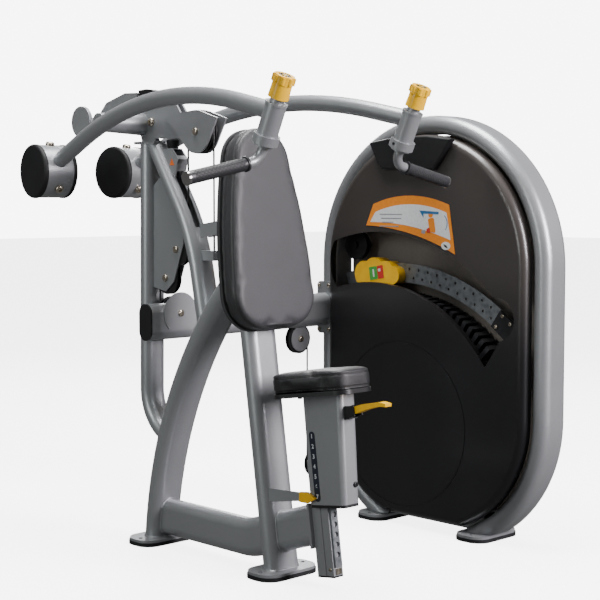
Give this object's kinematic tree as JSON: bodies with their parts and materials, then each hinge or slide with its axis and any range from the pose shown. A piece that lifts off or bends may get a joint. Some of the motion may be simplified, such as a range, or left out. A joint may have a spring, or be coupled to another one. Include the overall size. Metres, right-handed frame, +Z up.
{
  "type": "shoulder press machine",
  "caption": "Seated shoulder press gym machine: curved lifting arms on a raised pivot, swivel handles, padded seat and back, and a domed round-topped weight tower at one side.",
  "frame": {"origin": "on the floor in the seat's mid-plane, under the middle of the front foot", "axes": "+Z up; -Y is the way the seated user faces; +X is towards the weight tower, on the user's left"},
  "size_m": [1.3927, 1.4468, 1.426],
  "materials": {
    "silver_paint": "silver-grey metallic powder coat",
    "dark_steel": "black coated steel",
    "screws": "zinc-nickel plated",
    "galvanised": "zinc plated",
    "rubber_black": "moulded black rubber",
    "plastic_black": "moulded nylon",
    "shroud_plastic": "smoked, slightly see-through moulding",
    "plastic_yellow": "yellow moulded plastic",
    "vinyl": "charcoal upholstery vinyl over foam",
    "board": "grey-edged backing board",
    "panel_beige": "grey-beige sheet",
    "placard_print": "orange and white printed plate",
    "cable_black": "nylon-coated wire rope",
    "weights": "painted cast plates"
  },
  "bodies": {
    "frame": {"foot_pads": "rubber_black", "foot_plates": "silver_paint", "front_leg": "silver_paint", "rear_leg": "silver_paint", "base_tubes": "silver_paint", "mast": "silver_paint", "rear_upright": "silver_paint", "cross_tube": "silver_paint", "tube_caps": "plastic_black", "pivot_head": "silver_paint", "small_brackets": "silver_paint", "bumper": "rubber_black", "pulley_brackets": "silver_paint", "frame_fasteners": "screws", "yoke_cable": "cable_black", "base_cable": "cable_black", "backrest_board": "board", "backrest_pad": "vinyl", "seat_post": "silver_paint", "latch_strip": "galvanised", "pointer_tip": "plastic_yellow", "tower_arch": "silver_paint", "tower_fittings": "silver_paint", "front_shroud": "shroud_plastic", "back_panel": "panel_beige", "placard": "placard_print", "badge_pod": "plastic_black", "selector_arc": "galvanised", "tower_posts": "dark_steel"},
    "press_arm": {"arm_tubes": "silver_paint", "arm_hub": "silver_paint", "arm_bolts": "screws", "drum_shells": "silver_paint", "drum_caps": "rubber_black", "counterweight": "silver_paint", "hub_cover": "plastic_black", "handle_sleeves": "silver_paint"},
    "yoke_wheel": {"yoke_pulley": "plastic_black"},
    "right_handle": {"right_grip_tube": "silver_paint", "right_grip": "rubber_black"},
    "left_handle": {"left_grip_tube": "silver_paint", "left_grip": "rubber_black"},
    "right_pull_knob": {"right_knob": "plastic_yellow"},
    "left_pull_knob": {"left_knob": "plastic_yellow"},
    "front_guide_wheel": {"front_guide_pulley": "plastic_black"},
    "rear_guide_wheel": {"rear_guide_pulley": "plastic_black"},
    "cross_wheel": {"cross_pulley": "plastic_black"},
    "hanger_wheel": {"hanger_pulley": "plastic_black"},
    "base_wheel": {"base_pulley": "plastic_black"},
    "weight_arm": {"weight_lever": "silver_paint", "weight_plates": "weights"},
    "selector_slide": {"selector": "plastic_yellow"},
    "seat_carriage": {"seat_sleeve": "silver_paint", "sleeve_trim": "plastic_black", "seat_pan": "plastic_black", "seat_pad": "vinyl", "seat_hardware": "dark_steel"},
    "seat_latch": {"seat_lever": "plastic_yellow"}
  },
  "joints": [
    {"name": "press", "type": "hinge", "parent": "frame", "child": "press_arm", "pos_m": [0, 0.628, 1.318], "axis": [-1, 0, 0], "range_deg": [0, 45], "deforming": ["yoke_cable"]},
    {"name": "yoke_wheel_turn", "type": "hinge", "parent": "press_arm", "child": "yoke_wheel", "pos_m": [0, 0.355, 1.285], "axis": [1, 0, 0], "continuous": true},
    {"name": "front_guide_turn", "type": "hinge", "parent": "frame", "child": "front_guide_wheel", "pos_m": [0, 0.46, 0.928], "axis": [-1, 0, 0], "continuous": true},
    {"name": "rear_guide_turn", "type": "hinge", "parent": "frame", "child": "rear_guide_wheel", "pos_m": [0, 0.512, 0.838], "axis": [1, 0, 0], "continuous": true},
    {"name": "cross_wheel_turn", "type": "hinge", "parent": "frame", "child": "cross_wheel", "pos_m": [0.045, 0.557, 0.725], "axis": [0, 1, 0], "continuous": true},
    {"name": "hanger_wheel_turn", "type": "hinge", "parent": "frame", "child": "hanger_wheel", "pos_m": [0.599, 0.557, 0.603], "axis": [0, -1, 0], "continuous": true},
    {"name": "base_wheel_turn", "type": "hinge", "parent": "frame", "child": "base_wheel", "pos_m": [0.689, 0.557, 0.16], "axis": [0, 1, 0], "continuous": true},
    {"name": "weight_arm_lift", "type": "hinge", "parent": "frame", "child": "weight_arm", "pos_m": [0.778, 0.23, 0.215], "axis": [-1, 0, 0], "range_deg": [0, 22.5]},
    {"name": "selector_move", "type": "hinge", "parent": "frame", "child": "selector_slide", "pos_m": [0.752, 0.22, 0.13], "axis": [1, 0, 0], "range_deg": [0, 32]},
    {"name": "right_handle_swivel", "type": "hinge", "parent": "press_arm", "child": "right_handle", "pos_m": [-0.263, -0.217, 1.228], "axis": [0, 0.4131, -0.9107], "range_deg": [0, 90]},
    {"name": "right_knob_pull", "type": "slide", "parent": "right_handle", "child": "right_pull_knob", "axis": [0, -0.4131, 0.9107], "range_m": [0, 0.008], "stiffness_N_per_m": 600, "springref_m": -0.008},
    {"name": "left_handle_swivel", "type": "hinge", "parent": "press_arm", "child": "left_handle", "pos_m": [0.263, -0.217, 1.228], "axis": [0, -0.4131, 0.9107], "range_deg": [0, 90]},
    {"name": "left_knob_pull", "type": "slide", "parent": "left_handle", "child": "left_pull_knob", "axis": [0, -0.4131, 0.9107], "range_m": [0, 0.008], "stiffness_N_per_m": 600, "springref_m": -0.008},
    {"name": "seat_height", "type": "slide", "parent": "frame", "child": "seat_carriage", "axis": [0, 0.1392, 0.9903], "range_m": [-0.168, 0]},
    {"name": "seat_latch_squeeze", "type": "hinge", "parent": "seat_carriage", "child": "seat_latch", "pos_m": [0, -0.29236, 0.51004], "axis": [-1, 0, 0], "range_deg": [0, 12], "stiffness_Nm_per_rad": 2, "springref_deg": -11.46}
  ],
  "couplings": [
    {"joint": "yoke_wheel_turn", "follows": "press", "ratio": 4.361},
    {"joint": "front_guide_turn", "follows": "press", "ratio": 11.629},
    {"joint": "rear_guide_turn", "follows": "press", "ratio": 11.629},
    {"joint": "cross_wheel_turn", "follows": "press", "ratio": 11.629},
    {"joint": "hanger_wheel_turn", "follows": "press", "ratio": 11.629},
    {"joint": "base_wheel_turn", "follows": "press", "ratio": 11.629},
    {"joint": "weight_arm_lift", "follows": "press", "ratio": 0.5}
  ]
}
